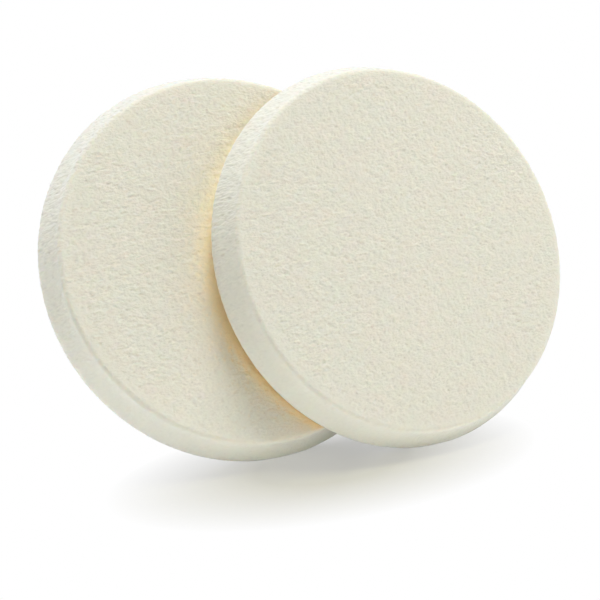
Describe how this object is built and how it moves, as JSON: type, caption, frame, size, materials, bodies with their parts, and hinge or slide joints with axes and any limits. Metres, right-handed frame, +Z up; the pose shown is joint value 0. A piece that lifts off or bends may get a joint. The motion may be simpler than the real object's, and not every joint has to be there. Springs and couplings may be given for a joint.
{
  "type": "makeup puff",
  "caption": "Round foam makeup puffs for powder or foundation, with flat faces and sloping cut edges, standing on edge, leaning back and overlapping.",
  "frame": {"origin": "on the floor under the middle of the pair's bounding box", "axes": "+Z up; +X along the pair, from the rear puff to the front one; the faces look toward -Y and up"},
  "size_m": [0.1048, 0.0526, 0.0679],
  "materials": {
    "front_foam": "matt cream rubber foam with fine open pores",
    "rear_foam": "matt cream rubber foam with fine open pores"
  },
  "bodies": {
    "rear": {"rear_puff": "rear_foam"},
    "front": {"front_puff": "front_foam"}
  },
  "joints": [
    {"name": "front_puff_lift", "type": "slide", "parent": "rear", "child": "front", "axis": [0, -0.8894, 0.4571], "range_m": [0, 0.06]}
  ]
}
